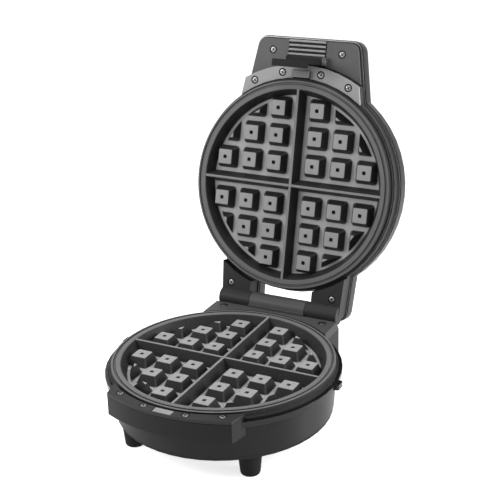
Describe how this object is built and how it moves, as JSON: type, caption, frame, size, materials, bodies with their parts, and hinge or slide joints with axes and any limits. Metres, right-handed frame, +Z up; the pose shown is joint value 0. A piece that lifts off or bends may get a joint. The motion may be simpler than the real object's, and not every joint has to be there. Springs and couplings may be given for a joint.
{
  "type": "round waffle maker",
  "caption": "Countertop round waffle maker on feet, with a hinged lid standing open, a tapered lid handle with a swinging latch, and removable plates with square pegs.",
  "frame": {"origin": "centre of the whole part's footprint with the lid open, on the surface that the feet stand on", "axes": "+Z up; -Y to the front, where the grip, the latch and the user are; +Y to the hinge; +X to the right as seen from the front"},
  "size_m": [0.2108, 0.3138, 0.3055],
  "materials": {
    "gloss_black": "glossy",
    "satin_black": "satin",
    "satin_dark": "satin",
    "satin_grey": "satin",
    "coated_aluminium": "non-stick coating, satin",
    "sheet_aluminium": "bright",
    "trim_chrome": "polished",
    "screw_steel": "satin",
    "element_steel": "dull",
    "black_rubber": "matte",
    "ceramic": "matte",
    "red_lens": "clear",
    "green_lens": "clear"
  },
  "bodies": {
    "base": {"base_drum": "gloss_black", "bottom_cover": "satin_black", "rim_ring": "gloss_black", "front_grip": "gloss_black", "lower_retainer": "satin_black", "lower_retainer_screw_1": "screw_steel", "lower_retainer_screw_2": "screw_steel", "lower_retainer_screw_3": "screw_steel", "lower_retainer_screw_4": "screw_steel", "lower_release_spring": "screw_steel", "rear_block": "satin_black", "hinge_platform": "satin_dark", "platform_screw_1": "screw_steel", "platform_screw_2": "screw_steel", "hinge_pin": "screw_steel", "cord_gland": "black_rubber", "front_left_foot": "black_rubber", "front_right_foot": "black_rubber", "rear_left_foot": "black_rubber", "rear_right_foot": "black_rubber", "foot_screw_1": "screw_steel", "foot_screw_2": "screw_steel", "foot_screw_3": "screw_steel", "foot_screw_4": "screw_steel", "lower_reflector": "sheet_aluminium", "lower_heating_element": "element_steel", "lower_thermostat": "sheet_aluminium", "thermal_fuse": "ceramic", "terminal_block": "ceramic"},
    "lid": {"lid_frame": "satin_dark", "lid_trim": "trim_chrome", "lid_cover": "gloss_black", "upper_retainer": "satin_grey", "upper_retainer_screw_1": "screw_steel", "upper_retainer_screw_2": "screw_steel", "upper_retainer_screw_3": "screw_steel", "upper_retainer_screw_4": "screw_steel", "upper_release_spring": "screw_steel", "handle_panel": "satin_dark", "panel_screw_1": "screw_steel", "panel_screw_2": "screw_steel", "grip_insert": "satin_grey", "arm_screw_1": "screw_steel", "arm_screw_2": "screw_steel", "latch_pin": "screw_steel", "power_lens": "red_lens", "ready_lens": "green_lens", "upper_reflector": "sheet_aluminium", "upper_heating_element": "element_steel", "upper_thermostat": "sheet_aluminium"},
    "latch": {"lid_latch": "satin_dark"},
    "lower_plate": {"lower_plate": "coated_aluminium"},
    "upper_plate": {"upper_plate": "coated_aluminium"},
    "lower_release": {"lower_plate_release": "satin_grey"},
    "upper_release": {"upper_plate_release": "satin_dark"}
  },
  "joints": [
    {"name": "lid_hinge", "type": "hinge", "parent": "base", "child": "lid", "pos_m": [0, 0.06446, 0.06666], "axis": [1, 0, 0], "range_deg": [0, 103.5]},
    {"name": "latch_pivot", "type": "hinge", "parent": "lid", "child": "latch", "pos_m": [0, 0.12638, 0.28756], "axis": [1, 0, 0], "range_deg": [0, 5.5]},
    {"name": "lower_plate_lift", "type": "slide", "parent": "base", "child": "lower_plate", "axis": [0, 0, -1], "range_m": [-0.02, 0]},
    {"name": "upper_plate_lift", "type": "slide", "parent": "lid", "child": "upper_plate", "axis": [0, 0.9724, -0.2334], "range_m": [-0.02, 0]},
    {"name": "lower_release_press", "type": "slide", "parent": "base", "child": "lower_release", "axis": [0, 0, 1], "range_m": [-0.0025, 0], "stiffness_N_per_m": 400, "springref_m": 0.001},
    {"name": "upper_release_press", "type": "slide", "parent": "lid", "child": "upper_release", "axis": [0, -0.9724, 0.2334], "range_m": [-0.0025, 0], "stiffness_N_per_m": 400, "springref_m": 0.001}
  ]
}
